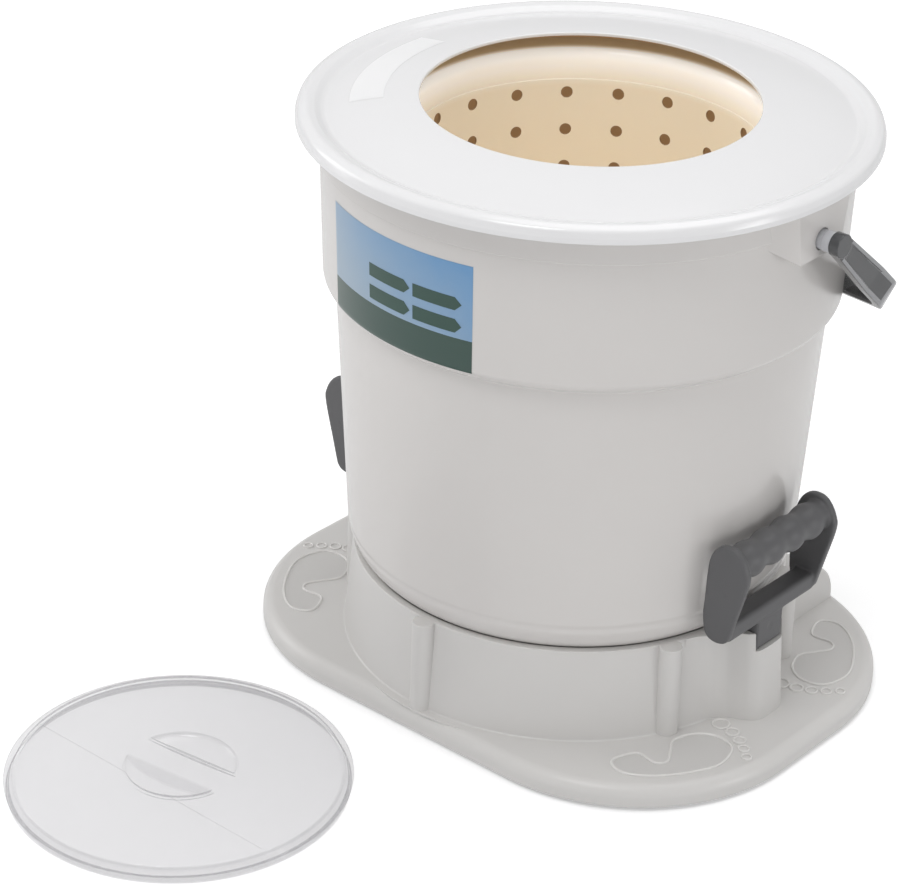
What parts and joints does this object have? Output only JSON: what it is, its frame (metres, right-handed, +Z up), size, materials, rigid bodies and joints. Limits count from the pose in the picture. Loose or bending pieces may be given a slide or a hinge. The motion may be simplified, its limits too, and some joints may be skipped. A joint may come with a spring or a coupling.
{
  "type": "manual spin dryer",
  "caption": "Hand-powered spin dryer: a perforated basket in a round tub on a foot plate, spun by two pull ropes with handles, with a carrying handle and a clear lid.",
  "frame": {"origin": "on the tub's vertical axis, at the level of the floor", "axes": "+Z up along the tub's axis; +X through the right-hand pull handle and the carrying handle's pivots; +Y towards the carrying handle's bow at rest"},
  "size_m": [0.4228, 0.611, 0.411],
  "materials": {
    "white_plastic": "glossy white moulding",
    "tub_plastic": "satin pale warm grey moulding",
    "base_plastic": "satin pale grey moulding",
    "cream_plastic": "smooth cream moulding",
    "dark_plastic": "fine satin dark grey moulding",
    "grey_plastic": "glossy dark grey moulding",
    "pin_plastic": "glossy mid grey moulding",
    "clear_plastic": "clear moulding",
    "black_plastic": "matt black moulding",
    "pale_nylon": "natural nylon",
    "steel": "bright turned steel",
    "spring_steel": "blued spring strip",
    "rubber": "soft black rubber",
    "rope_fibre": "braided cord"
  },
  "bodies": {
    "base": {"base_shell": "base_plastic", "bearing_housing": "black_plastic", "bottom_cover": "black_plastic", "bottom_cover_screw_1": "steel", "bottom_cover_screw_2": "steel", "bottom_cover_screw_3": "steel", "bottom_cover_screw_4": "steel", "bottom_cover_screw_5": "steel", "bottom_cover_screw_6": "steel", "drain_pipe": "black_plastic", "housing_screw_1": "steel", "housing_screw_2": "steel", "housing_screw_3": "steel", "lower_bearing": "steel", "outer_tub": "tub_plastic", "recoil_spring": "spring_steel", "roller_pin_left": "steel", "roller_pin_right": "steel", "rope_run_left": "rope_fibre", "rope_run_right": "rope_fibre", "rubber_foot_1": "rubber", "rubber_foot_2": "rubber", "rubber_foot_3": "rubber", "rubber_foot_4": "rubber", "shaft_seal": "rubber", "spring_cup": "black_plastic", "top_cover": "white_plastic", "tub_screw_1": "steel", "tub_screw_2": "steel", "tub_screw_3": "steel", "tub_screw_4": "steel", "upper_bearing": "steel"},
    "spinner": {"basket": "cream_plastic", "drive_shaft": "steel", "basket_washer": "steel", "basket_nut": "steel"},
    "reel": {"rope_pulley": "pale_nylon", "one_way_clutch": "steel", "rope_winding_right": "rope_fibre", "rope_winding_left": "rope_fibre"},
    "right_pull": {"pull_handle_right": "dark_plastic", "rope_riser_right": "rope_fibre", "rope_knot_right": "rope_fibre"},
    "left_pull": {"pull_handle_left": "dark_plastic", "rope_riser_left": "rope_fibre", "rope_knot_left": "rope_fibre"},
    "right_roller": {"guide_roller_right": "pale_nylon"},
    "left_roller": {"guide_roller_left": "pale_nylon"},
    "bail": {"bail_handle": "grey_plastic", "bail_pivot_right": "pin_plastic", "bail_pivot_left": "pin_plastic"},
    "lid": {"clear_lid": "clear_plastic"}
  },
  "joints": [
    {"name": "basket_spin", "type": "hinge", "parent": "base", "child": "spinner", "pos_m": [0, 0, 0.0985], "axis": [0, 0, 1], "continuous": true},
    {"name": "pull_right", "type": "slide", "parent": "base", "child": "right_pull", "axis": [0.342, 0, 0.9397], "range_m": [0, 0.5], "stiffness_N_per_m": 25, "springref_m": -0.3, "deforming": ["rope_riser_right"]},
    {"name": "pull_left", "type": "slide", "parent": "base", "child": "left_pull", "axis": [-0.342, 0, 0.9397], "range_m": [0, 0.5], "deforming": ["rope_riser_left"]},
    {"name": "pulley_turn", "type": "hinge", "parent": "base", "child": "reel", "pos_m": [0, 0, 0.02], "axis": [0, 0, 1], "range_deg": [-919.2, 0]},
    {"name": "roller_turn_right", "type": "hinge", "parent": "base", "child": "right_roller", "pos_m": [0.1535, 0, 0.037], "axis": [0, 1, 0], "range_deg": [-2388.3, 0]},
    {"name": "roller_turn_left", "type": "hinge", "parent": "base", "child": "left_roller", "pos_m": [-0.1535, 0, 0.045], "axis": [0, 1, 0], "range_deg": [0, 2388.3]},
    {"name": "bail_swing", "type": "hinge", "parent": "base", "child": "bail", "pos_m": [0, 0, 0.3705], "axis": [1, 0, 0], "range_deg": [0, 200]},
    {"name": "lid_lift", "type": "slide", "parent": "base", "child": "lid", "axis": [0, 0, 1], "range_m": [0, 0.45]}
  ],
  "couplings": [
    {"joint": "pull_left", "follows": "pull_right", "ratio": 1},
    {"joint": "pulley_turn", "follows": "pull_right", "rad_per_m": -32.051},
    {"joint": "roller_turn_right", "follows": "pull_right", "rad_per_m": -83.333},
    {"joint": "roller_turn_left", "follows": "pull_right", "rad_per_m": 83.333}
  ]
}
